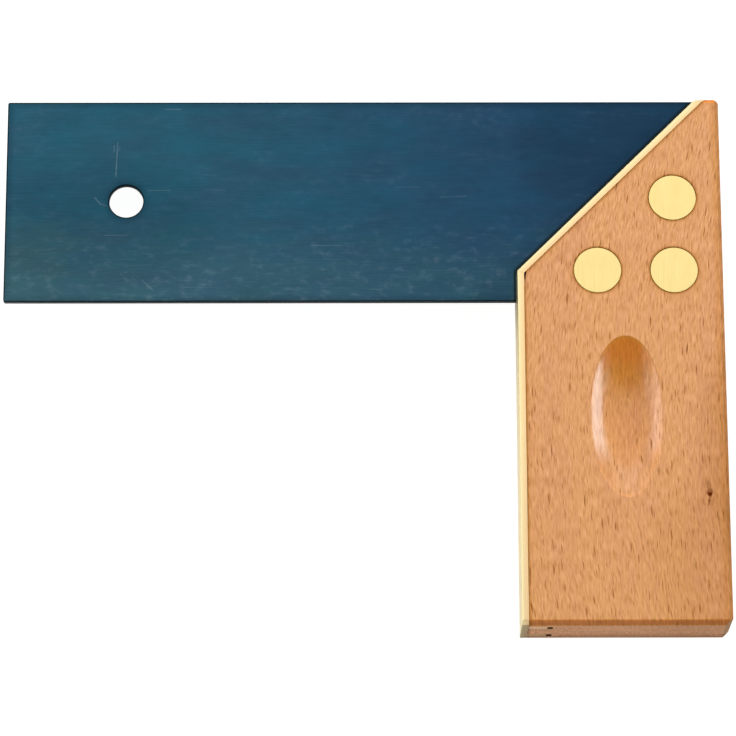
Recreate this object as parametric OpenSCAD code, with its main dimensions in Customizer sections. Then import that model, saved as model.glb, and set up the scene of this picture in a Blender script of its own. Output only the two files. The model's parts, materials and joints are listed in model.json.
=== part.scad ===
// Joiner's try and mitre square.
// A blued steel blade sits in the slot of a beech stock and is held there by three brass rivets.
// Brass facings cover the stock's two working edges, and their legs sit in saw kerfs in the wood.
// The blade points to -X, the stock runs along Y, and the stock's back face lies at height 0.

/* [Blade] */
// Free length of the blade, from the inner facing to the tip
blade_reach = 150; // [110:1:220]
// Width of the blade
blade_w = 62.2; // [56:0.1:74]
// Thickness of the blade
blade_t = 1.8; // [1:0.1:3]
// Radius of the two corners at the tip
tip_corner_r = 0.6; // [0.3:0.1:4]
// Diameter of the hole that the square hangs by
hang_hole_d = 10; // [5:0.5:16]
// Distance from the tip to the middle of that hole
hang_hole_inset = 35.5; // [20:0.5:60]

/* [Stock] */
// Length of the stock
stock_l = 159; // [140:1:200]
// Thickness of the stock
stock_t = 18; // [16:0.5:26]
// Width of the top end, beside the mitre
top_land = 6.7; // [6:0.1:14]
// How far the blade's outer edge stands above the top end
blade_proud = 2; // [1:0.1:4]
// How far the blade's inner edge lies below the corner of the mitre
blade_drop = 6.9; // [4:0.1:12]
// How far the blade slot runs past the mitre facings at the top end
slot_past = 0.8; // [0.5:0.1:2]
// Chamfer along the ends and the outer edge
edge_chamfer = 1.2; // [0.5:0.1:2]
// Chamfer of the upright outer corner at the bottom end
foot_chamfer = 1.8; // [0.5:0.1:3]
// Small cut at the wood's inner corner, measured along the mitre
corner_relief = 0.9; // [0.3:0.1:1.5]
// How far that cut runs down the square edge
relief_drop = 3.6; // [0.5:0.1:5]

/* [Thumb grooves] */
// Length of a thumb groove
groove_l = 48.5; // [40:0.5:60]
// Width of a thumb groove
groove_w = 21; // [14:0.5:24]
// Depth of a thumb groove in its middle
groove_depth = 3.5; // [2:0.1:6]
// Distance from the stock's bottom end to the middle of a groove
groove_up = 61.5; // [50:0.5:70]

/* [Brass facings] */
// Thickness of a facing
facing_t = 2; // [1.2:0.1:2.5]
// Chamfer along a facing's long outer edges
facing_edge = 0.4; // [0.2:0.1:0.8]
// Thickness of a facing's legs
leg_t = 1; // [0.6:0.1:1.6]
// How far the legs reach into the wood
leg_l = 5.4; // [3:0.1:7]
// Distance between the middles of the two legs
leg_spacing = 8.8; // [6:0.1:11]
// Empty depth of a saw kerf beyond the leg in it
kerf_spare = 1.2; // [0.5:0.1:2]
// Wood left between the end of a mitre kerf and the outer edge
kerf_wall = 3; // [2:0.1:6]

/* [Rosettes and rivets] */
// Diameter of a rosette
rosette_d = 13.8; // [11:0.2:16]
// Thickness of a rosette
rosette_t = 2.5; // [1.8:0.1:3]
// Chamfer round a rosette's visible rim
rosette_rim = 0.15; // [0.1:0.05:0.4]
// Distance between neighbouring rosettes
rosette_pitch = 22.3; // [18:0.1:25]
// Distance from the outer edge to the nearest rosettes' middles
rosette_inset = 14.3; // [12:0.1:17]
// Diameter of a rivet's shank
rivet_d = 5; // [3:0.1:7]
// Diameter of a rivet's closed head
rivet_head_d = 8; // [7.5:0.1:9.5]

/* [Fits] */
// Room round the blade in its slot, on each side
slot_clearance = 0.05; // [0.02:0.01:0.2]
// Room round a facing's leg in its kerf, on each side
kerf_clearance = 0.05; // [0.02:0.01:0.2]
// Room between a facing and the wood behind it
facing_clearance = 0.08; // [0.02:0.01:0.2]
// Room between the inner facing and the mitre facings where they meet
mitre_joint = 0.04; // [0.02:0.01:0.2]
// Room round a rosette in its seat
seat_clearance = 0.22; // [0.02:0.01:0.3]
// Room round a rivet
rivet_clearance = 0.03; // [0.01:0.01:0.1]

/* [Hidden] */
$fn = 96;

steel_blue = [0.18, 0.32, 0.40];
beech = [0.84, 0.60, 0.40];
brass = [0.96, 0.87, 0.60];
rivet_brass = [0.90, 0.80, 0.52];

// How far a cutting shape runs past what it cuts
over = 1;

// The mitre lies at 45 degrees, so it is as wide as it is high
mitre_run = blade_w - blade_proud - blade_drop;
stock_w = mitre_run + top_land;

// The plan is centred on the box of the whole square
x_tip = -(blade_reach + stock_w) / 2;
x_face = x_tip + blade_reach;
x_outer = x_face + stock_w;
y_blade_top = (stock_l + blade_proud) / 2;
y_blade_low = y_blade_top - blade_w;
y_top = y_blade_top - blade_proud;
y_bottom = y_top - stock_l;
y_corner = y_top - mitre_run;
z_mid = stock_t / 2;

// Depths behind the facings' outer faces
wood_depth = facing_t + facing_clearance;
leg_depth = facing_t + leg_l;
kerf_depth = leg_depth + kerf_spare;

// The blade's slot and the end of the tang in it
slot_t = blade_t + 2 * slot_clearance;
x_slot_end = x_face + mitre_run + wood_depth * sqrt(2) + slot_past;
x_tang_end = x_slot_end - slot_clearance;

// The mitre kerfs stop inside the wood, and the legs in them stop a little earlier
mitre_kerf_run = sqrt(2) * (stock_w - kerf_wall) - kerf_depth;
mitre_leg_run = mitre_kerf_run - kerf_clearance;

// A groove lies midway across the wood, cut by a round-rimmed wheel that is sunk into the cheek
wheel_r = (pow(groove_l / 2, 2) + pow(groove_depth, 2)) / (2 * groove_depth);
rim_r = (pow(groove_w / 2, 2) + pow(groove_depth, 2)) / (2 * groove_depth);
groove_spot = [(x_face + wood_depth + x_outer) / 2, y_bottom + groove_up];

// Two rosettes lie level with the mitre's corner, and one above the outer of them
inner_spot = [x_outer - rosette_inset - rosette_pitch, y_corner];
outer_spot = [x_outer - rosette_inset, y_corner];
upper_spot = [x_outer - rosette_inset, y_corner + rosette_pitch];
rivet_spots = [inner_spot, outer_spot, upper_spot];
rivet_r = rivet_d / 2;
rivet_head_r = rivet_head_d / 2;
rivet_head_h = rivet_head_r - rivet_r;

// Point on the line that halves the corner of the two facings, at a depth behind both
function corner(depth) = [x_face + depth, y_corner - depth * tan(22.5)];

// Point along the mitre, measured from its corner, at a depth behind its face
function on_mitre(run, depth) = [
    x_face + (run + depth) / sqrt(2),
    y_corner + (run - depth) / sqrt(2)
];

// Points of a round corner between two angles
function arc(centre, r, from, to, steps = 6) = [
    for (i = [0 : steps])
        let (a = from + (to - from) * i / steps)
            centre + r * [cos(a), sin(a)]
];

// The block that the whole stock is planed to, with chamfered ends and outer edge
module planed_block() {
    across = [
        [x_face - over, 0],
        [x_outer - edge_chamfer, 0],
        [x_outer, edge_chamfer],
        [x_outer, stock_t - edge_chamfer],
        [x_outer - edge_chamfer, stock_t],
        [x_face - over, stock_t]
    ];
    along = [
        [y_bottom + edge_chamfer, 0],
        [y_top - edge_chamfer, 0],
        [y_top, edge_chamfer],
        [y_top, stock_t - edge_chamfer],
        [y_top - edge_chamfer, stock_t],
        [y_bottom + edge_chamfer, stock_t],
        [y_bottom, stock_t - edge_chamfer],
        [y_bottom, edge_chamfer]
    ];
    intersection() {
        rotate([90, 0, 0])
            linear_extrude(2 * stock_l, center = true)
                polygon(across);
        rotate([90, 0, 90])
            linear_extrude(2 * (blade_reach + stock_w), center = true)
                polygon(along);
    }
}

// Outline of the wood behind the facings
module wood_plan() {
    relief_run = wood_depth * tan(22.5) + corner_relief;
    polygon([
        [x_face + wood_depth, y_bottom],
        [x_outer - foot_chamfer, y_bottom],
        [x_outer, y_bottom + foot_chamfer],
        [x_outer, y_top - edge_chamfer],
        [x_outer - edge_chamfer, y_top],
        [x_face + mitre_run + wood_depth * sqrt(2), y_top],
        on_mitre(relief_run, wood_depth),
        corner(wood_depth) - [0, relief_drop]
    ]);
}

// Outline of the saw kerfs behind both facings
module kerf_plan() {
    polygon([
        [x_face, y_bottom - over],
        [x_face + kerf_depth, y_bottom - over],
        corner(kerf_depth),
        on_mitre(mitre_kerf_run, kerf_depth),
        on_mitre(mitre_kerf_run, 0),
        corner(0)
    ]);
}

module kerfs() {
    kerf_t = leg_t + 2 * kerf_clearance;
    for (side = [-1, 1])
        translate([0, 0, z_mid + side * leg_spacing / 2 - kerf_t / 2])
            linear_extrude(kerf_t)
                kerf_plan();
}

module blade_slot() {
    slot_low = y_blade_low - slot_clearance;
    translate([x_face - over, slot_low, z_mid - slot_t / 2])
        cube([x_slot_end - x_face + over, y_blade_top - slot_low + over, slot_t]);
}

// Cutter for one thumb groove in the front cheek
module thumb_groove() {
    translate([groove_spot.x, groove_spot.y, stock_t + wheel_r - groove_depth])
        rotate([0, 90, 0])
            rotate_extrude()
                intersection() {
                    translate([wheel_r - rim_r, 0])
                        circle(rim_r);
                    translate([0, -rim_r])
                        square([wheel_r, 2 * rim_r]);
                }
}

// Turns what belongs to the front cheek over to the back cheek
module on_back() {
    translate([0, 0, stock_t])
        mirror([0, 0, 1])
            children();
}

module rosette_seat(spot) {
    translate([spot.x, spot.y, stock_t - rosette_t])
        cylinder(d = rosette_d + 2 * seat_clearance, h = rosette_t + over);
}

// Hole for a rivet with its two countersinks, from one cheek to the other
module rivet_hole(spot) {
    r = rivet_r + rivet_clearance;
    head_r = rivet_head_r + rivet_clearance;
    translate([spot.x, spot.y, 0])
        rotate_extrude()
            polygon([
                [0, -over],
                [head_r, -over],
                [head_r, 0],
                [r, rivet_head_h],
                [r, stock_t - rivet_head_h],
                [head_r, stock_t],
                [head_r, stock_t + over],
                [0, stock_t + over]
            ]);
}

// Cross-section of a facing: depth behind its face, and height
module facing_section() {
    polygon([
        [facing_edge, 0],
        [facing_t, 0],
        [facing_t, stock_t],
        [facing_edge, stock_t],
        [0, stock_t - facing_edge],
        [0, facing_edge]
    ]);
    for (side = [-1, 1])
        translate([facing_t / 2, z_mid + side * leg_spacing / 2 - leg_t / 2])
            square([leg_depth - facing_t / 2, leg_t]);
}

// Endless facing through the corner, leaning away from the square edge by an angle
module facing_strip(lean) {
    translate([x_face, y_corner, 0])
        rotate([0, 0, -lean])
            rotate([90, 0, 0])
                linear_extrude(4 * stock_l, center = true)
                    facing_section();
}

// Both mitre facings before the blade slot parts them
module mitre_facing() {
    far = 2 * mitre_run;
    step = mitre_joint / 2 / sqrt(2);
    difference() {
        intersection() {
            facing_strip(45);
            planed_block();
            translate([step, step, 0])
                linear_extrude(stock_t)
                    polygon([
                        corner(-over),
                        corner(leg_depth + over),
                        on_mitre(far, leg_depth + over),
                        on_mitre(far, -over)
                    ]);
        }
        linear_extrude(stock_t)
            polygon([
                on_mitre(mitre_leg_run, facing_t),
                on_mitre(far, facing_t),
                on_mitre(far, leg_depth + over),
                on_mitre(mitre_leg_run, leg_depth + over)
            ]);
        blade_slot();
    }
}

module half_space(front) {
    reach = 2 * (blade_reach + stock_l);
    translate([-reach / 2, -reach / 2, front ? z_mid : z_mid - reach])
        cube(reach);
}

module blade() {
    r = tip_corner_r;
    color(steel_blue)
        difference() {
            translate([0, 0, z_mid - blade_t / 2])
                linear_extrude(blade_t)
                    polygon(concat(
                        arc([x_tip + r, y_blade_top - r], r, 90, 180),
                        arc([x_tip + r, y_blade_low + r], r, 180, 270),
                        [[x_tang_end, y_blade_low], [x_tang_end, y_blade_top]]
                    ));
            translate([x_tip + hang_hole_inset, y_blade_top - blade_w / 2, 0])
                cylinder(d = hang_hole_d, h = stock_t);
            for (spot = rivet_spots)
                rivet_hole(spot);
        }
}

module stock() {
    color(beech)
        difference() {
            intersection() {
                planed_block();
                linear_extrude(stock_t)
                    wood_plan();
            }
            blade_slot();
            kerfs();
            thumb_groove();
            on_back()
                thumb_groove();
            for (spot = rivet_spots) {
                rosette_seat(spot);
                on_back()
                    rosette_seat(spot);
                rivet_hole(spot);
            }
        }
}

module inner_facing() {
    color(brass)
        difference() {
            intersection() {
                facing_strip(0);
                planed_block();
                translate([0, -mitre_joint / 2, 0])
                    linear_extrude(stock_t)
                        polygon([
                            [x_face - over, y_bottom - over],
                            [x_face + leg_depth + over, y_bottom - over],
                            corner(leg_depth + over),
                            corner(-over)
                        ]);
            }
            blade_slot();
        }
}

module mitre_facing_front() {
    color(brass)
        intersection() {
            mitre_facing();
            half_space(true);
        }
}

module mitre_facing_back() {
    color(brass)
        intersection() {
            mitre_facing();
            half_space(false);
        }
}

module front_rosette(spot) {
    color(brass)
        difference() {
            translate([spot.x, spot.y, stock_t - rosette_t])
                rotate_extrude()
                    polygon([
                        [0, 0],
                        [rosette_d / 2, 0],
                        [rosette_d / 2, rosette_t - rosette_rim],
                        [rosette_d / 2 - rosette_rim, rosette_t],
                        [0, rosette_t]
                    ]);
            rivet_hole(spot);
        }
}

module back_rosette(spot) {
    on_back()
        front_rosette(spot);
}

module rivet(spot) {
    color(rivet_brass)
        translate([spot.x, spot.y, 0])
            rotate_extrude()
                polygon([
                    [0, 0],
                    [rivet_head_r, 0],
                    [rivet_r, rivet_head_h],
                    [rivet_r, stock_t - rivet_head_h],
                    [rivet_head_r, stock_t],
                    [0, stock_t]
                ]);
}

blade();
stock();
inner_facing();
mitre_facing_front();
mitre_facing_back();
front_rosette(inner_spot);  // front_rosette_inner
front_rosette(outer_spot);  // front_rosette_outer
front_rosette(upper_spot);  // front_rosette_upper
back_rosette(inner_spot);  // back_rosette_inner
back_rosette(outer_spot);  // back_rosette_outer
back_rosette(upper_spot);  // back_rosette_upper
rivet(inner_spot);  // rivet_inner
rivet(outer_spot);  // rivet_outer
rivet(upper_spot);  // rivet_upper
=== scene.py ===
# %% [markdown]
# # A joiner's try and mitre square
# The square has a blued steel blade, a beech stock, brass facings on the two working edges, and
# three brass rivets that close in round brass rosettes. The CAD part is loaded first as a fixed
# frame. Every piece is then modelled again with softened edges at the place the frame gives, and
# gets a finish made of shader nodes.

# %% Load the frame
import json
import math
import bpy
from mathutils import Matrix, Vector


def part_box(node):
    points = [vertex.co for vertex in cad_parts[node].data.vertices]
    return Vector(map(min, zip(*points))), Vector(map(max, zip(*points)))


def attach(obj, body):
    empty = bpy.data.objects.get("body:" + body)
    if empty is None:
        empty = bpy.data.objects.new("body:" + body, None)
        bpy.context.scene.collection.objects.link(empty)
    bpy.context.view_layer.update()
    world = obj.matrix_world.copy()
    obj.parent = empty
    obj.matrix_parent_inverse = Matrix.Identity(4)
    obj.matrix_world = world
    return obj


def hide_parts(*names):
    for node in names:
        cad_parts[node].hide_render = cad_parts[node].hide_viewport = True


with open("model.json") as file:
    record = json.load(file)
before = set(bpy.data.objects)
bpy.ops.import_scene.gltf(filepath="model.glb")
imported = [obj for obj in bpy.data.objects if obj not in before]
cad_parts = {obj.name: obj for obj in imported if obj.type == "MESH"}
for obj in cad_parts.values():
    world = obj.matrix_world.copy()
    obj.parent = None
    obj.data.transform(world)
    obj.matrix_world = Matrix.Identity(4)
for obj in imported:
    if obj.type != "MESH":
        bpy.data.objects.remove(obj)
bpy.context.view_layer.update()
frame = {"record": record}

from types import SimpleNamespace

import bmesh
import bpy
from mathutils import Vector

MM = 0.001

# %% [markdown]
# ## Where things are
# A maker reads the drawing before cutting wood. The boxes of the CAD nodes give the sizes of the
# pieces, and the record's mounts give the hanging hole and the two working faces. Reading them
# here, and not typing them again, keeps the looks in step with the drawing.

# %% Read the places
mounts = {mount["name"]: mount for mount in frame["record"]["mounts"]}
blade_low, blade_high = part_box("blade")
wood_low, wood_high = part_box("stock")
strip_low, strip_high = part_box("inner_facing")
half_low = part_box("mitre_facing_front")[0]
thick = wood_high.z
middle_z = thick / 2
square_x = strip_low.x
mitre_spot = Vector(mounts["mitre_face"]["pos_m"])
mitre_out = Vector(mounts["mitre_face"]["axis"]).normalized()
corner = Vector((square_x, mitre_spot.y - (mitre_spot.x - square_x), 0))
hole_spot = Vector(mounts["hang_hole"]["pos_m"])
hole_r = mounts["hang_hole"]["dims"]["r_mm"] * MM
ROSETTES = ("inner", "outer", "upper")
rosette_boxes = [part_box("front_rosette_" + name) for name in ROSETTES]
rivet_spots = [(low + high) / 2 for low, high in rosette_boxes]
rosette_low, rosette_high = rosette_boxes[0]
ROSETTE_R, ROSETTE_T = (rosette_high.x - rosette_low.x) / 2, rosette_high.z - rosette_low.z
openings = {opening["name"]: opening["box_m"] for opening in frame["record"]["physics"]["openings"]}
groove_low, groove_high = openings["front_thumb_groove"]
groove_spot = (Vector(groove_low) + Vector(groove_high)) / 2
print("corner of the two working faces in mm:", [round(v / MM, 2) for v in corner])

# %% [markdown]
# ## The camera
# The square lies flat and is seen from above, a little from its lower end, with a long lens. The
# place and the turn come from fitting straight edges and circles of the real one, so that every
# corner falls on its place in the picture without any lens shift.

# %% Set up the camera
EYE = (-3.159 * MM, -339.771 * MM, 1108.723 * MM)
EYE_TURN = (17.0854, -0.2042, -0.1392)
LENS, SENSOR = 193.374, 36
bpy.ops.object.select_all(action="DESELECT")
bpy.ops.object.camera_add(location=EYE, rotation=[math.radians(a) for a in EYE_TURN])
camera = bpy.context.active_object
camera.name = "bench_camera"
camera.data.sensor_width, camera.data.lens = SENSOR, LENS
bpy.context.scene.camera = camera
print("camera height in mm:", round(camera.location.z / MM))

# %% [markdown]
# ## The floor
# The square lies on a white table. The picture shows that table as plain white, while the metal
# and the lacquer mirror a real table with the square's own shadow on it. So there are two sheets:
# one that only the camera sees, which glows, and one just below that only the object sees, which
# is lit by the lamps and glows no more than a little.

# %% Lay the floor
TABLE_SIZE = 6


def lay_sheet(name, height, grey, glow):
    """A wide plane under the square."""
    bpy.ops.object.select_all(action="DESELECT")
    bpy.ops.mesh.primitive_plane_add(size=TABLE_SIZE, location=(0, 0, height))
    sheet = bpy.context.active_object
    sheet.name = name
    paint = bpy.data.materials.new(name + "_paint")
    paint.use_nodes = True
    shader = paint.node_tree.nodes["Principled BSDF"]
    shader.inputs["Base Color"].default_value = (grey, grey, grey, 1)
    shader.inputs["Roughness"].default_value = 0.9
    shader.inputs["Specular IOR Level"].default_value = 0
    shader.inputs["Emission Color"].default_value = (1, 1, 1, 1)
    shader.inputs["Emission Strength"].default_value = glow
    sheet.data.materials.append(paint)
    print(name, "lies at", round(height / MM, 1), "mm")
    return sheet


shown_table = lay_sheet("shown_table", height=-0.2 * MM, grey=0.2, glow=0.96)
shown_table.visible_diffuse = shown_table.visible_glossy = False
shown_table.visible_transmission = shown_table.visible_shadow = False
mirrored_table = lay_sheet("mirrored_table", height=-0.4 * MM, grey=0.8, glow=0.22)
mirrored_table.visible_camera = False

# %% [markdown]
# ## The light
# A large softbox hangs overhead with its near edge straight above the square, and another stands
# behind it, so flat metal and lacquer shine while faces that lean towards the camera mirror a dark
# room. Two softboxes at the sides and a small card draw the bands in the thumb groove, and a white
# card in front keeps the ends of the stock from going black. A lamp can have two parts, one that
# lights surfaces and one that is mirrored, so that the wood gets enough light without the brass
# turning white. The softbox in front and the cards at the four corners give no light: they are
# there for the metal to mirror when the square is seen from behind or from a corner.

# %% Hang the softboxes
room = bpy.data.worlds.new("dim_room")
room.use_nodes = True
room.node_tree.nodes["Background"].inputs["Color"].default_value = (0.02, 0.02, 0.02, 1)
bpy.context.scene.world = room
bpy.context.scene.view_settings.view_transform = "Standard"
SHINE_AHEAD = 5 * MM


def softbox(name, centre, aim, width, height, shine, light=0):
    """A rectangular lamp that faces a point and stays out of the picture. Its first part lights
    the surfaces, and the other, just in front of it, is what polished surfaces mirror."""
    ahead = (Vector(aim) - Vector(centre)).normalized()
    turn = ahead.to_track_quat("-Z", "Y").to_euler()
    for part, glow, step in (("light", light, 0), ("shine", shine, SHINE_AHEAD)):
        if glow == 0:
            continue
        spot = Vector(centre) + step * ahead
        bpy.ops.object.light_add(type="AREA", location=spot, rotation=turn)
        lamp = bpy.context.active_object
        lamp.name = name + "_" + part
        lamp.data.shape = "RECTANGLE"
        lamp.data.size, lamp.data.size_y = width, height
        lamp.data.energy = glow * math.pi * width * height
        lamp.visible_camera = False
        lamp.visible_diffuse = part == "light"
        lamp.visible_glossy = part == "shine"
        print(lamp.name, "gives", round(lamp.data.energy, 1), "watts")


# Places, aims, widths and heights are in metres
TABLE_AIM = (0, 0, 0)
GROOVE_AIM = groove_spot.xy.to_3d() + Vector((0, 0, 15 * MM))
softbox("top_softbox", (0, 0.77, 1.25), (0, 0.05, 0), 3.0, 1.44, shine=1.22, light=1.15)
softbox("back_softbox", (0, 1.57, 0.61), TABLE_AIM, 2.4, 0.69, shine=1.0, light=5.1)
softbox("right_softbox", (1.08, 0.076, 0.457), GROOVE_AIM, 0.95, 0.63, shine=1.85, light=3.7)
softbox("left_softbox", (-0.947, 0.062, 0.411), GROOVE_AIM, 0.98, 0.78, shine=1.2, light=2.5)
softbox("front_softbox", (0, -1.22, 1.03), TABLE_AIM, 2.4, 0.68, shine=0.9)
softbox("front_card", (0, -1.35, 0.5), TABLE_AIM, 2.0, 0.7, shine=0.75, light=0.75)
softbox("groove_card", (-0.64, -0.08, 0.97), GROOVE_AIM, 0.42, 0.32, shine=0.65)
for side, x in (("left", -1.2), ("right", 1.2)):
    softbox("front_" + side + "_card", (x, -1.0, 0.55), TABLE_AIM, 1.1, 0.95, shine=0.8)
    softbox("back_" + side + "_card", (x, 1.25, 0.5), TABLE_AIM, 0.9, 0.8, shine=0.5)

# %% [markdown]
# ## Shader sums
# A finish is a web of small nodes. Written as Python sums it stays readable: this class wraps one
# output socket, and adding, multiplying or comparing two wires adds the Math node for it. Every
# other node comes from one method, which takes the node's type, its settings and its sockets.


# %% Wrap a socket
class Wire:
    """One socket in a material's nodes that can stand in a Python sum."""

    def __init__(self, tree, socket):
        self.tree = tree
        self.socket = socket

    def plug(self, socket, value):
        """Links a wire to a socket, or sets a plain value on it."""
        if isinstance(value, Wire):
            self.tree.links.new(value.socket, socket)
        else:
            socket.default_value = value

    def node(self, kind, settings=None, sockets=None, out=0):
        """Adds a node, first its settings and then its sockets, and wraps one output."""
        made = self.tree.nodes.new(kind)
        for name, value in (settings or {}).items():
            setattr(made, name, value)
        for key, value in (sockets or {}).items():
            self.plug(made.inputs[key], value)
        return Wire(self.tree, made.outputs[out])

    def also(self, out):
        """Another output of the same node."""
        return Wire(self.tree, self.socket.node.outputs[out])

    def math(self, operation, first, second=0.0):
        return self.node("ShaderNodeMath", {"operation": operation}, {0: first, 1: second})

    def __add__(self, other):
        return self.math("ADD", self, other)

    __radd__ = __add__

    def __sub__(self, other):
        return self.math("SUBTRACT", self, other)

    def __rsub__(self, other):
        return self.math("SUBTRACT", other, self)

    def __mul__(self, other):
        return self.math("MULTIPLY", self, other)

    __rmul__ = __mul__

    def __truediv__(self, other):
        return self.math("DIVIDE", self, other)

    def __abs__(self):
        return self.math("ABSOLUTE", self)

    def root(self):
        return self.math("SQRT", self)

    def at_least(self, other):
        return self.math("MAXIMUM", self, other)

    def at_most(self, other):
        return self.math("MINIMUM", self, other)

    def rise(self, low, high):
        """Goes smoothly from 0 at low to 1 at high, or falls where low is the greater."""
        ends = {"Value": self, "From Min": low, "From Max": high}
        return self.node("ShaderNodeMapRange", {"interpolation_type": "SMOOTHSTEP"}, ends)

    def mix(self, first, second):
        """A colour between two others, with this wire as the share of the second."""
        sockets = {0: self, 6: first, 7: second}
        return self.node("ShaderNodeMix", {"data_type": "RGBA"}, sockets, out=2)

    def dim(self, colour):
        """A colour made lighter or darker by this wire."""
        sockets = {0: colour, "Scale": self}
        return self.node("ShaderNodeVectorMath", {"operation": "SCALE"}, sockets)

    def stretched(self, x, y, z):
        """This vector divided by a length along each axis."""
        sockets = {0: self, 1: (x, y, z)}
        return self.node("ShaderNodeVectorMath", {"operation": "DIVIDE"}, sockets)

    def noise(self, detail=2.0, roughness=0.5):
        """Soft random clouds about 0, with most of them within 0.25 of it."""
        sockets = {"Vector": self, "Scale": 1.0, "Detail": detail, "Roughness": roughness}
        return self.node("ShaderNodeTexNoise", {"normalize": True}, sockets) - 0.5

    def cells(self):
        """Distance to the nearest of many scattered points."""
        return self.node("ShaderNodeTexVoronoi", {}, {"Vector": self, "Scale": 1.0})

    def vector(self, y, z):
        """A vector with this wire as its x."""
        return self.node("ShaderNodeCombineXYZ", {}, {0: self, 1: y, 2: z})

    def red(self):
        """The red part of a colour, as a number."""
        return self.node("ShaderNodeSeparateColor", {}, {0: self})

    def bump(self, depth):
        """A normal for relief of that depth in metres."""
        sockets = {"Strength": 1.0, "Distance": depth, "Height": self}
        return self.node("ShaderNodeBump", {}, sockets)


# %% [markdown]
# Every finish starts the same way. Values that are the same all over a piece are set on the
# shader's own sockets. What changes over it is worked out from Object coordinates, which stay with
# the piece and need no unwrapping.


# %% Start a finish
def start_finish(name, fixed):
    """A new material with fixed shader values, and wires for x, y and z in millimetres."""
    material = bpy.data.materials.new(name)
    material.use_nodes = True
    tree = material.node_tree
    shader = tree.nodes["Principled BSDF"]
    for socket, value in fixed.items():
        shader.inputs[socket].default_value = value
    place = Wire(tree, tree.nodes.new("ShaderNodeTexCoord").outputs["Object"])
    axes = place.node("ShaderNodeSeparateXYZ", {}, {0: place})
    x, y, z = (axes.also(out) / MM for out in ("X", "Y", "Z"))
    return material, shader, x, y, z


def rgb(red, green, blue):
    return (red, green, blue, 1)


# %% [markdown]
# ## Marks on a surface
# Wear is not spread evenly. These helpers say how far a point lies from the stock's working faces
# or from a spot, and how much of a scratch or an oval mark covers it, all in millimetres.


# %% Measure marks
def off_the_mitre(x, y):
    """Distance from the mitre's face, more than 0 on the free blade."""
    return (x - corner.x / MM) * mitre_out.x + (y - corner.y / MM) * mitre_out.y


def off_the_stock(x, y):
    """Distance from the nearer working face, more than 0 on the free blade."""
    return (square_x / MM - x).at_least(off_the_mitre(x, y))


def away(x, y, spot):
    """Distance from a spot in the frame."""
    off_x, off_y = x - spot[0] / MM, y - spot[1] / MM
    return (off_x * off_x + off_y * off_y).root()


def scratch(x, y, start, end, width):
    """Share of a straight scratch between two points."""
    run = Vector(end) - Vector(start)
    along = ((x - start[0]) * run.x + (y - start[1]) * run.y) / run.length_squared
    along = along.at_least(0).at_most(1)
    off_x = x - start[0] - along * run.x
    off_y = y - start[1] - along * run.y
    return (off_x * off_x + off_y * off_y).rise((width / 2) ** 2, 0)


def oval(x, y, middle, half_width, half_length):
    """Share of an oval mark that fades out at its rim."""
    off_x, off_y = (x - middle[0]) / half_width, (y - middle[1]) / half_length
    return (off_x * off_x + off_y * off_y).rise(1, 0.2)


# %% [markdown]
# ## Blued steel
# The blade is spring steel, heated until a thin oxide turns it blue. Lines from the rolling mill
# run along it. The blue leans to teal at the tip, to navy near the stock and to grey at the lower
# edge, and handling leaves smudges and a few scratches. Painted shade darkens the edges, the rim of
# the hanging hole, a band along the mitre and a patch near its upper end, and a painted shadow runs
# as a dark line along the stock.
# The colour goes on a metallic shader, so that the lamps and not the colour make the shine.

# %% Mix the blued steel
# Start and end of each scratch in millimetres, its width and its strength
SCRATCHES = (
    ((-72.3, 67.7), (-72.7, 57.1), 0.40, 0.60),
    ((-73.3, 66.9), (-73.4, 64.8), 0.45, 0.40),
    ((-71.6, 66.6), (-71.9, 65.2), 0.45, 0.30),
    ((-78.7, 50.5), (-77.2, 48.6), 0.60, 0.50),
    ((-77.2, 48.6), (-75.4, 48.0), 0.50, 0.45),
    ((-63.1, 52.8), (-56.7, 52.8), 0.30, 0.35),
    ((-58.6, 78.3), (-53.9, 78.3), 0.45, 0.40),
    ((-75.9, 38.8), (-69.0, 38.8), 0.30, 0.40),
    ((-46.9, 52.9), (-40.4, 52.9), 0.30, 0.25),
    ((-69.9, 29.6), (-64.5, 24.8), 0.40, 0.12),
    ((-64.5, 24.8), (-61.3, 21.9), 0.45, 0.45),
    ((-15.1, 35.6), (-6.0, 35.6), 0.45, 0.30),
    ((10.0, 53.8), (17.1, 53.8), 0.40, 0.15),
    ((22.9, 50.6), (30.6, 50.9), 0.50, 0.20),
)


def blue_oxide(x, y, patches, clouds):
    """The oxide's colour over the blade, before lines and marks."""
    to_stock = x.rise(-80, 90)
    hue = 0.5 + 3 * patches
    teal = to_stock.mix(rgb(0.019, 0.092, 0.138), rgb(0.0155, 0.055, 0.107))
    violet = to_stock.mix(rgb(0.025, 0.083, 0.129), rgb(0.0180, 0.048, 0.099))
    olive = to_stock.mix(rgb(0.038, 0.111, 0.142), rgb(0.024, 0.074, 0.110))
    slate = to_stock.mix(rgb(0.038, 0.096, 0.140), rgb(0.020, 0.060, 0.112))
    to_low_edge = (y + 34 * clouds).rise(45, 24)
    blue = to_low_edge.mix(hue.mix(teal, violet), hue.mix(olive, slate))
    green = 0.45 * oval(x + 60 * clouds, y + 40 * patches, (-103, 26), 26, 22)
    return green.mix(blue, rgb(0.042, 0.110, 0.130))


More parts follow.
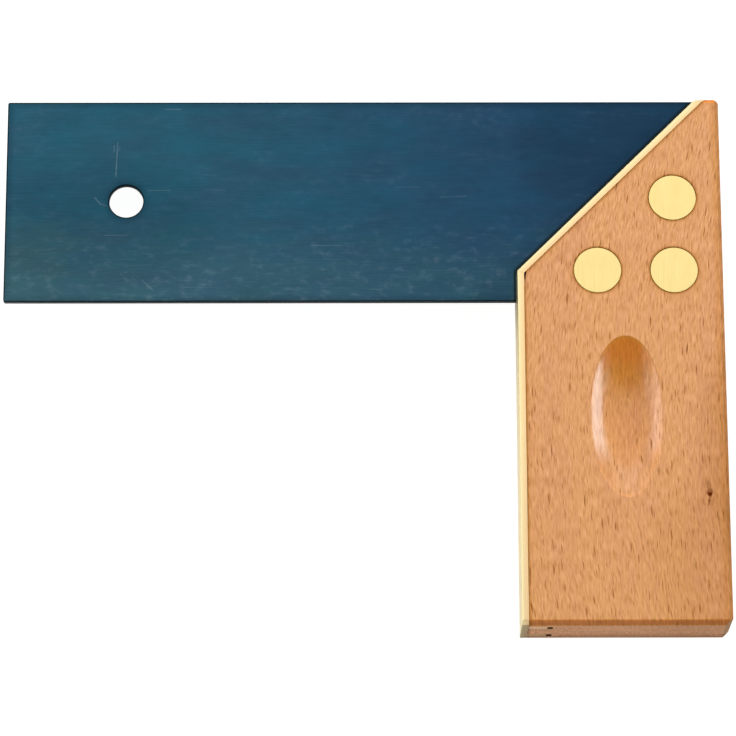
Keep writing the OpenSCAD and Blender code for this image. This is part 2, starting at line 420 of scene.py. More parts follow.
def mix_blued_steel():
    material, shader, x, y, z = start_finish("blued_steel", {"Metallic": 1.0})
    plate = x.vector(y, z)
    patches = plate.stretched(24, 9, 9).noise(3, 0.6)
    clouds = plate.stretched(15, 6, 6).noise(3, 0.6)
    lines = plate.stretched(8, 0.35, 3).noise(1)
    smudge = plate.stretched(3.2, 1.9, 3).noise(3, 0.6)
    wear = 0.35 * (clouds + 0.6 * patches).rise(-0.05, 0.2) + y.rise(48, 26)
    bare = rgb(0.13, 0.20, 0.25)
    colour = blue_oxide(x, y, patches, clouds)
    colour = (smudge.rise(0, 0.3) * wear * 0.3).mix(colour, bare)
    colour = (lines.rise(0.14, 0.4) * wear * 0.4).mix(colour, bare)
    marks = 0
    for start, end, width, strength in SCRATCHES:
        marks = (scratch(x, y, start, end, width) * strength).at_least(marks)
    colour = (marks * (1 + 2 * smudge)).mix(colour, bare)
    # Distance to the edges and the hanging hole, for the painted shade there.
    edge = (y - blade_low.y / MM).at_most(blade_high.y / MM - y).at_most(x - blade_low.x / MM)
    edge = edge.at_most(away(x, y, hole_spot) - hole_r / MM)
    by_mitre = off_the_mitre(x, y)
    # Painted shadow: an olive-black line on the blade right beside the mitre and square facings.
    shadow = by_mitre.rise(2.9, 2) * (square_x / MM - x).rise(0.9, 0.5)
    colour = (0.85 * shadow).mix(colour, rgb(0.011, 0.018, 0.016))
    tone = 1.02 + 0.35 * lines + 0.35 * smudge + 0.4 * clouds
    # Painted shade: darker at the edges and round the hanging hole.
    tone = tone * (1 - 0.85 * edge.rise(0.5, 0.2)) * (1 - 0.22 * edge.rise(2.6, 0.3))
    # Painted shade: darker within 8 mm of the mitre. The oval near the tip is only a darker patch.
    tone = tone * (1 - 0.12 * by_mitre.rise(8, 3)) * (1 - 0.16 * oval(x, y, (-77, 41), 42, 26))
    # Painted shade: a darker patch by the upper end of the mitre.
    tone = tone * (1 - 0.2 * oval(x, y, (78, 66), 40, 24))
    tone.plug(shader.inputs["Base Color"], tone.dim(colour))
    tone.plug(shader.inputs["Roughness"], 0.34 + 0.15 * lines + 0.15 * smudge)
    tone.plug(shader.inputs["Normal"], lines.bump(0.002 * MM))
    return material


blued_steel = mix_blued_steel()
print("blued steel has", len(blued_steel.node_tree.nodes), "nodes")

# %% [markdown]
# ## Beech
# Steamed beech is a warm tan. Its rays are thin sheets that stand upright in the stock: on the
# front they show end-on as short dark dashes, on the sides as wider flakes, and on the ends as
# fine lines. Points scattered in a space that is squeezed across the grain and drawn out along
# the rays give all three views from one pattern. Finer fibres lie between them.


# %% Lay out the grain
def grain_of(x, y, z):
    """Place in the wood across the grain, along it and along the rays, in millimetres."""
    place = x.vector(y, z)
    drift = place.stretched(15, 45, 45).noise()
    wander = place.stretched(2.5, 3, 9).noise(1)
    bow = (y + 19) * (y + 19) * 0.001
    return (x - bow + 2.4 * drift + 0.5 * wander).vector(y, z)


def flecks(grain, width, length, depth, most):
    """Share of dark dashes of many sizes that lie about that far apart in the wood."""
    cells = grain.stretched(width, length, depth).cells()
    luck = cells.also("Color").red()
    return (cells / (0.12 + (most - 0.12) * luck)).rise(1, 0.4) * (0.45 + 0.55 * luck)


# %% [markdown]
# The finish changes from place to place on the stock, so its places are measured first: how far a
# point lies from the ends, the outer side and the brass, how deep it is sunk below the flat faces,
# and which part of a thumb groove it belongs to.

# %% Measure the stock
FACING = 2 * MM
LEG_UP = 4.4 * MM
KERF_BOTTOM = 8.1 * MM


def measure_stock(x, y, z):
    """Distances on the stock in millimetres, and shares from 0 to 1 of its ends and edges."""
    at = SimpleNamespace()
    at.from_middle = abs(z - middle_z / MM)
    at.sunk = middle_z / MM - at.from_middle
    at.to_end = (y - wood_low.y / MM).at_most(wood_high.y / MM - y)
    at.to_side = wood_high.x / MM - x
    at.inward = -1 * off_the_stock(x, y)
    at.from_brass = at.inward - FACING / MM
    for spot in rivet_spots:
        at.from_brass = at.from_brass.at_most(away(x, y, spot) - ROSETTE_R / MM)
    at.sawn = at.to_end.rise(0.15, 0.03)
    at.bevel = at.to_end.rise(1.3, 1.1) * (1 - at.sawn)
    at.side_bevel = at.to_side.rise(1.3, 0.9) * at.sunk.rise(1.4, 1.2)
    at.foot = (at.to_side + y - wood_low.y / MM).rise(2.1, 1.9)
    at.upper = y.rise(-10, 40)
    # Share of the kerfs' bottoms, which are painted nearly black as shade.
    kerf_depth = abs(at.inward - KERF_BOTTOM / MM).rise(0.95, 0.7)
    kerf_height = abs(at.from_middle - LEG_UP / MM).rise(1.25, 0.9)
    at.kerf = kerf_depth * kerf_height * (y - wood_low.y / MM).rise(3, 2)
    # Wide patches of painted shade at the lower right and along the outer side.
    at.dark_foot = oval(x, y, (101, -64), 24, 34)
    at.dark_side = oval(x, y, (108, -28), 14, 40)
    return at


def measure_groove(at, x, y):
    """Adds the shares of a thumb groove: the whole, its floor, its ends and its walls, and the
    dry corners at its lower end."""
    off_x, off_y = x - groove_spot.x / MM, y - groove_spot.y / MM
    at.groove = oval(x, y, groove_spot / MM, 11.5, 26)
    inside = at.groove.rise(0, 0.1) * at.sunk.rise(0.1, 0.4)
    at.groove_floor = inside * at.sunk.rise(1.6, 2.6)
    at.groove_top = inside * off_y.rise(12, 20)
    at.groove_low = inside * off_y.rise(-2, -14)
    at.groove_right = inside * off_x.rise(6, 9)
    walls = inside * at.sunk.rise(2.6, 1.6) * off_x.rise(-3, -6).at_least(off_x.rise(6.5, 9))
    at.groove_sides = walls * off_y.rise(-18, -5)
    at.groove_dry = inside * abs(off_x).rise(2, 5) * off_y.rise(-7, -15)


# %% [markdown]
# The colour goes from tan to a redder brown in bands along the grain. Sawn ends are paler, and the
# flecks and a pin knot at the lower right of the front are darker. Painted shade makes the bottoms
# of the kerfs nearly black, the upper end of each thumb groove a deeper orange and the foot's
# chamfer a greyer tan.

# %% Choose the wood's colour
KNOT = (99.3, -42.4)


def pin_knot(x, y, z, grain):
    """Share of the knot's dark core, its halo and the streaks below and above it, on the front
    only."""
    bent_x = x + 1.3 * grain.stretched(0.9, 0.9, 0.9).noise()
    core = oval(bent_x, y, KNOT, 1.05, 0.95)
    halo = oval(bent_x, y, (KNOT[0] - 0.1, KNOT[1] + 0.6), 1.25, 1.6)
    streak = oval(bent_x, y, (KNOT[0] - 0.3, KNOT[1] - 1.8), 0.4, 1.7)
    streak = streak.at_least(0.6 * oval(bent_x, y, (KNOT[0] - 0.4, KNOT[1] + 2.6), 0.7, 1.8))
    return core.at_least(0.65 * halo.at_least(streak)) * z.rise(middle_z / MM, thick / MM)


def beech_colour(at, grain, marks, knot):
    """The colour of the wood before light and dark."""
    mottle = grain.stretched(1.6, 7, 6).noise()
    bands = grain.stretched(12, 130, 12).noise()
    colour = (0.4 + bands + 0.9 * mottle).mix(rgb(0.71, 0.284, 0.026), rgb(0.59, 0.188, 0.022))
    colour = at.bevel.mix(colour, rgb(0.70, 0.215, 0.026))
    bare = at.sawn * (1 - 0.75 * at.sunk.rise(2.6, 1.3))
    colour = bare.mix(colour, rgb(0.83, 0.445, 0.25))
    colour = marks.mix(colour, rgb(0.27, 0.080, 0.008))
    colour = knot.mix(colour, rgb(0.14, 0.022, 0.002))
    # Painted shade: the upper end of each thumb groove a deeper orange.
    colour = at.groove_top.mix(colour, rgb(0.75, 0.232, 0.0205))
    # Painted shade: the foot's chamfer a greyer tan.
    colour = (0.7 * at.foot).mix(colour, rgb(0.85, 0.56, 0.32))
    # Painted shade: the bottoms of the kerfs nearly black.
    return at.kerf.mix(colour, rgb(0.010, 0.003, 0.001))


# %% [markdown]
# Painted shade makes some places darker: along the brass, wherever the wood is sunk below the flat
# faces, on the outer side and its chamfer, at the foot, in wide patches at the lower right and
# along the outer side, and on the sawn ends towards the table. Painted light makes the floor, the
# walls and the right side of each thumb groove lighter again, and the upper end of the stock is a
# little darker. A satin lacquer lies over it all. It lies thicker on the walls of the thumb
# grooves, shines less where a ray or a fleck drinks it up and close to the brass, and is missing on
# the sawn ends.


# %% Mix the beech
def beech_tone(at, x, y, z, fibre):
    """How light or dark the wood is."""
    rings = x.vector(y, z).stretched(28, 9, 1.5).noise()
    # Painted shade: darker wherever the wood is sunk below the flat faces, and on the foot's
    # chamfer.
    tone = (1 + 0.85 * fibre) * (1 - 0.08 * at.sunk.rise(0.1, 0.5)) * (1 - 0.4 * at.foot)
    # Painted shade on the outer side and its chamfer.
    tone = tone * (1 - 0.2 * at.side_bevel) * (1 - 0.08 * at.to_side.rise(3, 1.2))
    # Painted shade along the seams by the brass and round the rosettes.
    tone = tone * (1 - 0.25 * at.from_brass.rise(1.1, 0.25))
    # Painted shade in wide patches at the lower right and along the outer side.
    tone = tone * (1 - 0.08 * at.dark_foot) * (1 - 0.1 * at.dark_side)
    tone = tone * (1 - 0.02 * at.upper)
    # Painted light on the floor, the right side and the walls of each thumb groove.
    tone = tone * (1 + 0.05 * at.groove_floor) * (1 + 0.24 * at.groove_right)
    tone = tone * (1 + 0.05 * at.groove_sides)
    # On the sawn ends, rings of the end grain, and painted shade that darkens them towards the
    # table.
    return tone * (1 + at.sawn * (0.5 * rings - 0.3 * z.rise(8, 0.5)))


def beech_lacquer(at, fibre, dry):
    """Share of lacquer, which sinks in where the wood is dry."""
    lacquer = 0.45 + 0.9 * fibre * (1 - 0.5 * at.groove_sides)
    lacquer = lacquer * (1 - dry) * (1 - at.sawn) * (1 - at.kerf)
    lacquer = lacquer * (1 - 0.6 * at.to_end.rise(1.6, 1.2)) * (1 - 0.4 * at.to_side.rise(3.5, 1.2))
    lacquer = lacquer * (1 - 0.18 * at.dark_foot) * (1 - 0.26 * at.dark_side)
    lacquer = lacquer * (1 - 0.12 * at.from_brass.rise(3, 0.7))
    lacquer = lacquer * (1 - 0.7 * at.from_brass.rise(0.7, 0.35))
    lacquer = lacquer * (1 + 0.15 * at.groove) * (1 - 0.37 * at.groove_floor)
    lacquer = lacquer * (1 + at.groove_sides) * (0.95 + 0.05 * at.upper)
    lacquer = lacquer * (1 - 0.22 * at.groove_dry)
    return lacquer * (1 + 0.12 * at.groove_low) * (1 - 0.2 * at.groove_right)


def mix_beech():
    fixed = {"Specular IOR Level": 0.0, "Coat Roughness": 0.22, "Coat IOR": 3.0}
    material, shader, x, y, z = start_finish("beech", fixed)
    grain = grain_of(x, y, z)
    at = measure_stock(x, y, z)
    measure_groove(at, x, y)
    fibre = grain.stretched(0.45, 3.1, 3).noise()
    rays = flecks(grain, 0.95, 7.5, 14, 0.32)
    dust = flecks(grain, 0.62, 4.6, 10, 0.31)
    marks = (0.8 * rays).at_least(0.6 * dust) * (1 - 0.7 * at.sawn)
    knot = pin_knot(x, y, z, grain)
    tone = beech_tone(at, x, y, z, fibre)
    tone.plug(shader.inputs["Base Color"], tone.dim(beech_colour(at, grain, marks, knot)))
    tone.plug(shader.inputs["Coat Weight"], beech_lacquer(at, fibre, marks.at_least(knot)))
    tone.plug(shader.inputs["Normal"], (fibre - 0.5 * rays - 0.3 * dust).bump(0.015 * MM))
    return material


beech = mix_beech()
print("beech has", len(beech.node_tree.nodes), "nodes")

# %% [markdown]
# ## Brass
# The facings are ground along their length, also round the corner of the mitre, and the rosettes
# are filed flush with the wood, so both carry fine straight lines. The rosettes are a little
# yellower. A painted highlight makes each facing pale towards its working face, and the sawn ends
# are rougher and painted darker as shade, all but the ends of the upper legs.


# %% Mix the two kinds of brass
def mix_brass(name, light, deep, rough, across):
    """Brass ground in lines, with a function of x and y that measures across the lines."""
    material, shader, x, y, z = start_finish(name, {"Metallic": 1.0})
    lines = across(x, y).vector(y, z).stretched(0.24, 16, 16).noise()
    cloud = x.vector(y, z).stretched(3, 6, 6).noise()
    to_end = (y - wood_low.y / MM).at_most(wood_high.y / MM - y)
    # Painted shade on the end of the lower leg, which lies nearer the table.
    lower_leg_shade = 0.6 * z.rise(middle_z / MM, middle_z / MM - 1)
    off_stock = off_the_stock(x, y)
    # The sawn ends are rougher and painted darker as shade.
    dull_and_shade = to_end.rise(0.15, 0.03) * off_stock.rise(-2.2, -2).at_least(lower_leg_shade)
    share = 0.5 + 1.6 * lines + 1.2 * cloud
    tone = (1 + 0.15 * lines) * (1 - 0.54 * dull_and_shade)
    # Painted highlight: the facing is paler towards its working face.
    edge_highlight = 0.7 * off_stock.rise(-1.7, -0.1)
    colour = edge_highlight.mix(share.mix(light, deep), rgb(0.96, 0.85, 0.47))
    tone.plug(shader.inputs["Base Color"], tone.dim(colour))
    tone.plug(shader.inputs["Roughness"], rough + 0.2 * lines + 0.25 * dull_and_shade)
    tone.plug(shader.inputs["Normal"], lines.bump(0.003 * MM))
    return material


facing_brass = mix_brass(
    "facing_brass", rgb(0.94, 0.665, 0.355), rgb(0.90, 0.61, 0.305), 0.3, off_the_stock
)
rosette_brass = mix_brass(
    "rosette_brass", rgb(0.91, 0.725, 0.312), rgb(0.86, 0.668, 0.263), 0.3, lambda x, y: x
)
print("brass has", len(facing_brass.node_tree.nodes), "nodes")

# %% [markdown]
# ## Bench helpers
# These few helpers stand for moves of the hand in Blender. An operator acts on all that is
# selected, so the first ones take one piece alone and open it in edit mode with some of its
# points, edges or faces selected, picked by where they lie.


# %% Take a piece and pick its elements
def take(piece):
    """Makes a piece the only one selected."""
    bpy.ops.object.select_all(action="DESELECT")
    piece.select_set(True)
    bpy.context.view_layer.objects.active = piece


def open_with(piece, kind, chosen):
    """Opens a piece in edit mode with those of its elements selected that a test picks."""
    take(piece)
    bpy.ops.object.mode_set(mode="EDIT")
    bpy.ops.mesh.select_mode(type=kind)
    bpy.ops.mesh.select_all(action="DESELECT")
    form = bmesh.from_edit_mesh(piece.data)
    elements = {"VERT": form.verts, "EDGE": form.edges, "FACE": form.faces}[kind]
    picked = [element for element in elements if chosen(element)]
    for element in picked:
        element.select_set(True)
    bmesh.update_edit_mesh(piece.data)
    return len(picked)


def close():
    bpy.ops.object.mode_set(mode="OBJECT")


def near(value, target, slack=0.01 * MM):
    return abs(value - target) < slack


def ends_at(edge, axis, value):
    """True if both ends of an edge lie at a value along an axis, 0, 1 or 2."""
    return all(near(vertex.co[axis], value) for vertex in edge.verts)


# %% [markdown]
# The next ones add a block or a disc at its size and place, and cut a piece with another shape or
# along a plane. The exact solver is slower than the others, but it keeps thin kerfs clean.


# %% Add and cut shapes
def block(name, low, high):
    """A cube primitive between two corners, its place put into its mesh."""
    bpy.ops.object.select_all(action="DESELECT")
    low, high = Vector(low), Vector(high)
    bpy.ops.mesh.primitive_cube_add(size=1, location=(low + high) / 2, scale=high - low)
    piece = bpy.context.active_object
    piece.name = piece.data.name = name
    bpy.ops.object.transform_apply(location=True, rotation=True, scale=True)
    return piece


def disc(name, radius, low, high, spot, sides=128):
    """A cylinder primitive between two heights over a spot."""
    bpy.ops.object.select_all(action="DESELECT")
    bpy.ops.mesh.primitive_cylinder_add(
        vertices=sides,
        radius=radius,
        depth=high - low,
        location=(spot[0], spot[1], (low + high) / 2),
    )
    piece = bpy.context.active_object
    piece.name = piece.data.name = name
    bpy.ops.object.transform_apply(location=True, rotation=True, scale=True)
    return piece


def apply(piece, modifier):
    take(piece)
    bpy.ops.object.modifier_apply(modifier=modifier.name)


def cut(piece, *cutters):
    """Takes the cutters' volumes out of a piece and throws the cutters away."""
    for cutter in cutters:
        saw = piece.modifiers.new("saw", "BOOLEAN")
        saw.operation, saw.solver, saw.object = "DIFFERENCE", "EXACT", cutter
        apply(piece, saw)
        bpy.data.objects.remove(cutter)


def slice_off(piece, point, outward):
    """Cuts a piece along a plane and closes the cut, dropping what lies outward of it."""
    open_with(piece, "FACE", lambda face: True)
    bpy.ops.mesh.bisect(plane_co=point, plane_no=outward, use_fill=True, clear_outer=True)
    close()


# %% [markdown]
# The last ones finish a piece. A real edge is never quite sharp, and a narrow bevel catches the
# light as it does. A Weighted Normal modifier then keeps the flat faces flat in the shading.

# %% Soften and place a piece
WELD = 0.0005 * MM


def chamfer(piece, width, chosen, segments=1):
    """Bevels the edges that a test picks."""
    count = open_with(piece, "EDGE", chosen)
    bpy.ops.mesh.bevel(offset=width, segments=segments, affect="EDGES")
    close()
    return count


def soften(piece, width, angle=30, segments=2, keep=lambda edge: False, smooth=60):
    """Rounds every edge sharper than an angle, but for those that a test keeps, and shades the
    piece smooth over turns of less than another angle."""
    turn = math.radians(angle)
    chamfer(
        piece,
        width,
        lambda edge: edge.is_manifold and edge.calc_face_angle() > turn and not keep(edge),
        segments,
    )
    open_with(piece, "FACE", lambda face: True)
    bpy.ops.mesh.remove_doubles(threshold=WELD)
    bpy.ops.mesh.normals_make_consistent(inside=False)
    close()
    take(piece)
    bpy.ops.object.shade_smooth_by_angle(angle=math.radians(smooth))
    flats = piece.modifiers.new("flats", "WEIGHTED_NORMAL")
    flats.weight, flats.keep_sharp = 100, True
    apply(piece, flats)


def place(piece, finish, slot, *nodes):
    """Gives a piece its finish and its part in the frame."""
    piece.data.materials.clear()
    piece.data.materials.append(finish)
    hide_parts(*nodes)
    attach(piece, "root")
    print(piece.name, "has", len(piece.data.polygons), "faces")


# %% [markdown]
# ## The blade
# A strip of sheet steel with a hanging hole and two softly rounded tip corners. The tang that
# runs on inside the stock has three rivet holes. A cube primitive is the strip, its two tip edges
# are bevelled round, and the holes are drilled with cylinders.

# %% Make the blade
RIVET_R, TIP_R, BLADE_ROUND = 2.53 * MM, 0.6 * MM, 0.12 * MM
blade = block("blade_strip", blade_low, blade_high)
chamfer(
    blade,
    TIP_R,
    lambda edge: ends_at(edge, 0, blade_low.x)
    and near(edge.verts[0].co.y, edge.verts[1].co.y),
    segments=5,
)
cut(blade, disc("drill", hole_r, 0, thick, hole_spot))
cut(blade, *(disc("drill", RIVET_R, 0, thick, spot, 64) for spot in rivet_spots))
soften(blade, BLADE_ROUND)
place(blade, blued_steel, "blued_steel", "blade")

# %% [markdown]
# ## The stock
# The stock is planed from one length of beech. Its mitre is sawn off, its ends and outer edge are
# chamfered, the blade slot and the thin kerfs for the facings are sawn in, and the seats for the
# rosettes are bored. Last come the thumb grooves, one in each cheek. A cube primitive is the
# plank, and bisect and bevel take its corners off as a saw and a plane do.

# %% Saw the stock to shape
CHAMFER = 1.2 * MM
gap = wood_low.x - square_x - FACING
stock = block("beech_stock", wood_low, wood_high)
slice_off(stock, mitre_spot - mitre_out * (FACING + gap), mitre_out)


def flat_outer_edge(edge):
    """The front and back edges of both ends and of the outer side, which the plane takes."""
    flat = ends_at(edge, 2, 0) or ends_at(edge, 2, thick)
    outside = ends_at(edge, 0, wood_high.x)
    at_end = ends_at(edge, 1, wood_low.y) or ends_at(edge, 1, wood_high.y)
    return flat and (outside or at_end)


print("chamfered edges:", chamfer(stock, CHAMFER, flat_outer_edge))
FOOT_CHAMFER = 1.8 * MM
slice_off(stock, (wood_high.x, wood_low.y + FOOT_CHAMFER, 0), (1, -1, 0))
slice_off(stock, (wood_high.x, wood_high.y - CHAMFER, 0), (1, 1, 0))

# %% [markdown]
# The inner corner of the wood is eased with a slanting cut, so that the facings can sit close where
# they meet. The cut runs a little way up the mitre and further down the square edge.

# %% Ease the inner corner
RELIEF_UP, RELIEF_DOWN = 0.9 * MM, 3.6 * MM
MITRE_LEAN = math.pi / 4
wood_corner = Vector((wood_low.x, corner.y - (FACING + gap) * math.tan(MITRE_LEAN / 2), 0))
relief_low = wood_corner - Vector((0, RELIEF_DOWN, 0))
relief_run = wood_corner + RELIEF_UP * Vector((-mitre_out.x, mitre_out.y, 0)) - relief_low
relief_out = Vector((-relief_run.y, relief_run.x, 0)).normalized()
slice_off(stock, relief_low, relief_out)
print("eased corner runs over", round(relief_run.length / MM, 2), "mm")

# %% [markdown]
# The blade and the legs of the facings sit in saw cuts: a wide slot for the blade, and two thin
# kerfs along each working edge. Each cut is a block that a Boolean modifier takes away. The kerfs
# of the mitre are laid out upright at the corner and then leaned over, as the facings will be.

# %% Cut the slot and the kerfs
LEG = 1 * MM
KERF = 1.1 * MM
KERF_DEPTH = 8.6 * MM
SLOT, FIT = 1.9 * MM, 0.05 * MM
OVER = 1 * MM
slot_box = (
    (square_x - OVER, blade_low.y - FIT, middle_z - SLOT / 2),
    (blade_high.x + FIT, blade_high.y + OVER, middle_z + SLOT / 2),
)
cut(stock, block("slot_saw", *slot_box))
leg_heights = [middle_z - LEG_UP, middle_z + LEG_UP]
MITRE_KERF = 72 * MM


def lean(piece, angle):
    """Moves a piece from the origin to the corner of the working faces and leans it."""
    piece.location, piece.rotation_euler.z = corner, -angle
    take(piece)
    bpy.ops.object.transform_apply(location=True, rotation=True, scale=True)
    return piece


for height in leg_heights:
    low, high = height - KERF / 2, height + KERF / 2
    square_kerf = block("saw", (0, wood_low.y - corner.y - OVER, low), (KERF_DEPTH, 0, high))
    mitre_kerf = block("saw", (0, 0, low), (KERF_DEPTH, MITRE_KERF, high))
    cut(stock, lean(square_kerf, 0), lean(mitre_kerf, MITRE_LEAN))
print("the slot and the kerfs leave", len(stock.data.polygons), "faces")

# %% [markdown]
# Cylinders bore the rosettes' seats and the rivet holes. A thumb groove is what a wheel with a
# round rim leaves when it is lowered into the cheek, so a torus is taken away. The groove's length
# and depth give the wheel's radius, and its width and depth the rim's. The torus has many faces,
# because lacquer on a curved wall shows every flat.

# %% Bore the seats and cut the thumb grooves
SEAT_GAP = 0.11 * MM
SEAT_R = ROSETTE_R + SEAT_GAP
GROOVE_L, GROOVE_W, GROOVE_DEEP = 48.5 * MM, 21 * MM, 3.5 * MM
for spot in rivet_spots:
    cut(stock, disc("bit", SEAT_R, thick - ROSETTE_T, thick + OVER, spot))
    cut(stock, disc("bit", SEAT_R, -OVER, ROSETTE_T, spot))
    cut(stock, disc("bit", RIVET_R, 0, thick, spot, 64))


def arc_radius(chord, rise):
    """Radius of the arc with that chord and rise."""
    return ((chord / 2) ** 2 + rise**2) / (2 * rise)


wheel_r, rim_r = arc_radius(GROOVE_L, GROOVE_DEEP), arc_radius(GROOVE_W, GROOVE_DEEP)
for centre_z in (thick + wheel_r - GROOVE_DEEP, GROOVE_DEEP - wheel_r):
    bpy.ops.object.select_all(action="DESELECT")
    bpy.ops.mesh.primitive_torus_add(
        major_radius=wheel_r - rim_r,
        minor_radius=rim_r,
        major_segments=400,
        minor_segments=160,
        location=(groove_spot[0], groove_spot[1], centre_z),
        rotation=(0, math.pi / 2, 0),
    )
    cut(stock, bpy.context.active_object)
print("wheel and rim radius in mm:", round(wheel_r / MM, 2), round(rim_r / MM, 2))

# %% [markdown]
# A cut can leave points that lie almost on top of each other, and now and then an open face. A
# bevel needs room on both sides of an edge, so the points just under the rims of the grooves are
# dissolved, near points are merged and open faces are closed before the edges are rounded. The
# edges by the brass stay sharp.

# %% Clean up and round the stock's edges
RIM_BAND, STOCK_WELD, WOOD_ROUND = 0.2 * MM, 0.02 * MM, 0.2 * MM


def under_rim(vertex):
    """True for the points of a groove that lie too close to its rim for the rim to be rounded."""
    from_centre = (vertex.co - groove_spot).xy
    inside = abs(from_centre.x) < GROOVE_W / 2 and abs(from_centre.y) < GROOVE_L / 2
    sunk = min(vertex.co.z, thick - vertex.co.z)
    return inside and 0.001 * MM < sunk < RIM_BAND


print("points taken out under the rims:", open_with(stock, "VERT", under_rim))
bpy.ops.mesh.dissolve_verts()
bpy.ops.mesh.select_all(action="SELECT")
bpy.ops.mesh.remove_doubles(threshold=STOCK_WELD)
close()
print("open edges closed again:", open_with(stock, "EDGE", lambda edge: edge.is_boundary))
bpy.ops.mesh.fill_holes(sides=0)
close()


def by_facing(edge):
    """True for the edges by the brass, which stay sharp."""
    places = [vertex.co for vertex in edge.verts]
    on_mitre = all(near((p - mitre_spot).xy.dot(mitre_out.xy), -FACING - gap) for p in places)
    on_relief = all(near((p - relief_low).xy.dot(relief_out.xy), 0) for p in places)
    return on_mitre or on_relief or ends_at(edge, 0, wood_low.x)


soften(stock, WOOD_ROUND, angle=12, keep=by_facing)
place(stock, beech, "beech", "stock")

# %% [markdown]
# ## The brass facings
# Each facing is a channel: a strip with thin legs that sit in the kerfs. A block is scored across
# its back with bisect cuts, and the narrow bands between the cuts are extruded into legs. The
# strip is then leaned to its edge, and its ends are sliced to the corner joint and the end.

# %% Shape a facing
FRONT_ROUND = 0.5 * MM


def facing(name, low_z, high_z, legs, down, up, leg_run, angle):
    """A channel along y through the corner, from below it to above it, leaned by an angle."""
    piece = block(name, (0, -down, low_z), (FACING, up, high_z))
    outer = [z for z in (0, thick) if near(z, low_z) or near(z, high_z)]
    chamfer(
        piece,
        FRONT_ROUND,
        lambda edge: ends_at(edge, 0, 0) and any(ends_at(edge, 2, z) for z in outer),
        segments=4,
    )
    scores = [((0, 0, h + side), (0, 0, 1)) for h in legs for side in (-LEG / 2, LEG / 2)]
    for point, across in [*scores, ((0, leg_run, 0), (0, 1, 0))]:
        open_with(piece, "FACE", lambda face: True)
        bpy.ops.mesh.bisect(plane_co=point, plane_no=across)
        close()

    def is_band(face):
        spot = face.calc_center_median()
        on_leg = any(near(spot.z, height) for height in legs)
        return near(spot.x, FACING) and on_leg and spot.y < leg_run

    open_with(piece, "FACE", is_band)
    reach = (strip_high.x - strip_low.x - FACING, 0, 0)
    bpy.ops.mesh.extrude_region_move(TRANSFORM_OT_translate={"value": reach})
    close()
    return lean(piece, angle)


def trim_end(piece, y, along):
    """Cuts the front and back edges of an end at that y to the slope of the wood's."""
    slice_off(piece, (0, y, thick - CHAMFER), (0, along, 1))
    slice_off(piece, (0, y, CHAMFER), (0, along, -1))


# %% [markdown]
# The facings meet at the corner in a fine joint that halves the angle between the two working
# edges. The square facing ends there, lets the blade through in the same slot as the wood, and
# slopes with the wood at the foot.

# %% Make the square facing
JOINT, METAL_ROUND = 0.04 * MM, 0.1 * MM
joint_out = Vector((math.tan(MITRE_LEAN / 2), 1, 0)).normalized()


def in_joint(edge):
    """True for the edges where the facings meet, which stay sharp so that no seam shows."""
    return all(abs((vertex.co - corner).xy.dot(joint_out.xy)) < JOINT for vertex in edge.verts)


inner = facing(
    "square_facing",
    0,
    thick,
    leg_heights,
    down=corner.y - wood_low.y,
    up=5 * MM,
    leg_run=4 * MM,
    angle=0,
)
slice_off(inner, corner - Vector((0, JOINT / 2, 0)), joint_out)
cut(inner, block("slot_saw", *slot_box))
trim_end(inner, wood_low.y, -1)
soften(inner, METAL_ROUND, keep=in_joint)
place(inner, facing_brass, "facing_brass", "inner_facing")

# %% [markdown]
# The blade parts the mitre's facing into a front and a back strip, with one leg each. Both are
# made too long, leaned over about the corner, and sliced at the joint and at the stock's end.

# %% Make the two mitre facings
MITRE_LEG = MITRE_KERF - FIT
for name, node, low_z, high_z, height in (
    ("mitre_strip_front", "mitre_facing_front", half_low.z, thick, leg_heights[1]),
    ("mitre_strip_back", "mitre_facing_back", 0, thick - half_low.z, leg_heights[0]),
):
    strip = facing(
        name,
        low_z,
        high_z,
        [height],
        down=8 * MM,
        up=90 * MM,
        leg_run=MITRE_LEG,
        angle=MITRE_LEAN,
    )
    step = JOINT / 2 / math.sqrt(2)
    slice_off(strip, corner + Vector((step, step, 0)), -joint_out)
    slice_off(strip, (0, wood_high.y, 0), (0, 1, 0))
    trim_end(strip, wood_high.y, 1)
    soften(strip, METAL_ROUND, keep=in_joint)
    place(strip, facing_brass, "facing_brass", node)

# %% [markdown]
# ## Rosettes and rivets
# A rosette is a turned washer with a rounded rim and a countersink. A rivet is a rod whose ends
# are closed into the countersinks and filed flush. One of each is modelled at the origin and
# copied to its places.


# %% Pick flat faces and copy a piece
def pick_flat(piece, up, radius_below):
    """Selects the flat faces that look up or down and lie inside a radius."""

    def chosen(face):
        reach = max(math.hypot(vertex.co.x, vertex.co.y) for vertex in face.verts)
        return face.normal.z * up > 0.99 and reach < radius_below

    return open_with(piece, "FACE", chosen)


def twin_of(piece, name, spot, turn):
    """A copy with its own mesh, turned over and moved, its place put into its mesh."""
    take(piece)
    bpy.ops.object.duplicate(linked=False)
    twin = bpy.context.active_object
    twin.name = twin.data.name = name
    twin.location, twin.rotation_euler.x = spot, turn
    bpy.ops.object.transform_apply(location=True, rotation=True, scale=True)
    return twin


# %% [markdown]
# The washer starts as a disc with its upper rim bevelled round. An inset marks the mouth of the
# countersink, an extrusion that is scaled inwards makes its slope, and the hole is opened from
# both sides and bridged.

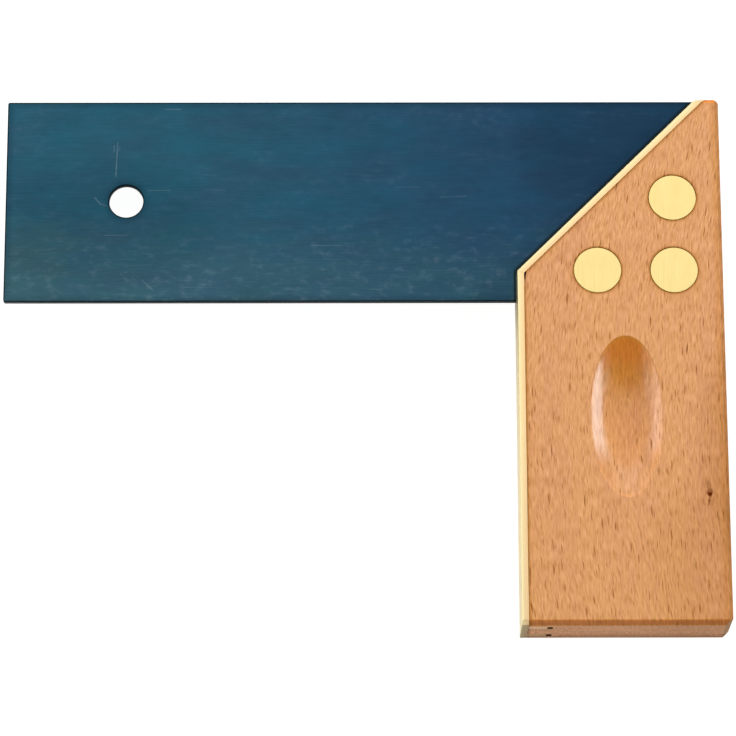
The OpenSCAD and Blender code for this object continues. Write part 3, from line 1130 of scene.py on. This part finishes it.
# %% Turn a rosette
HEAD_R, HEAD_H = 4.005 * MM, 1.5 * MM
RIM, LIP, TURNED_ROUND = 0.15 * MM, 0.3 * MM, 0.02 * MM
washer = disc("rosette", ROSETTE_R, 0, ROSETTE_T, (0, 0), 96)
chamfer(washer, RIM, lambda edge: ends_at(edge, 2, ROSETTE_T), segments=3)
pick_flat(washer, 1, ROSETTE_R)
bpy.ops.mesh.inset(thickness=ROSETTE_R - RIM - HEAD_R)
bpy.ops.mesh.extrude_region_move(TRANSFORM_OT_translate={"value": (0, 0, -HEAD_H)})
narrow = RIVET_R / HEAD_R
bpy.ops.transform.resize(value=(narrow, narrow, 1), center_override=(0, 0, 0))
to_lip = (0, 0, HEAD_H + LIP - ROSETTE_T)
bpy.ops.mesh.extrude_region_move(TRANSFORM_OT_translate={"value": to_lip})
bpy.ops.mesh.delete(type="FACE")
close()
pick_flat(washer, -1, 2 * ROSETTE_R)
bpy.ops.mesh.inset(thickness=ROSETTE_R - RIVET_R)
bpy.ops.mesh.delete(type="FACE")
close()
open_with(washer, "EDGE", lambda edge: edge.is_boundary)
bpy.ops.mesh.bridge_edge_loops()
close()
soften(washer, TURNED_ROUND, angle=50, segments=1, smooth=40)
print("a rosette has", len(washer.data.polygons), "faces")

# %% [markdown]
# Six copies of the washer go into their seats, and those at the back are turned over. Each copy
# has a mesh of its own with its place in it, so that no two show the same ground lines.

# %% Set the rosettes
for name, spot in zip(ROSETTES, rivet_spots):
    for side, height, turn in (("front", thick - ROSETTE_T, 0), ("back", ROSETTE_T, math.pi)):
        node = side + "_rosette_" + name
        twin = twin_of(washer, node + "_washer", (spot.x, spot.y, height), turn)
        place(twin, rosette_brass, "rosette_brass", node)
bpy.data.objects.remove(washer)

# %% [markdown]
# A rivet starts as a plain rod. Two bisect cuts mark where its heads begin, and the end faces are
# then scaled up, as a hammer spreads them, until they fill the countersinks.

# %% Make and close the rivets
SHANK_R, SPREAD = 2.5 * MM, 1.6
rod = disc("rivet", SHANK_R, 0, thick, (0, 0), 96)
for height in (HEAD_H, thick - HEAD_H):
    open_with(rod, "FACE", lambda face: True)
    bpy.ops.mesh.bisect(plane_co=(0, 0, height), plane_no=(0, 0, 1))
    close()
for up in (1, -1):
    pick_flat(rod, up, ROSETTE_R)
    bpy.ops.transform.resize(value=(SPREAD, SPREAD, 1), center_override=(0, 0, 0))
    close()


def filed_rim(edge):
    """True for the rims of the heads, which are filed flush and stay sharp."""
    return ends_at(edge, 2, 0) or ends_at(edge, 2, thick)


soften(rod, TURNED_ROUND, segments=1, keep=filed_rim)
for name, spot in zip(ROSETTES, rivet_spots):
    twin = twin_of(rod, "rivet_" + name + "_rod", (spot.x, spot.y, 0), 0)
    place(twin, rosette_brass, "rosette_brass", "rivet_" + name)
bpy.data.objects.remove(rod)
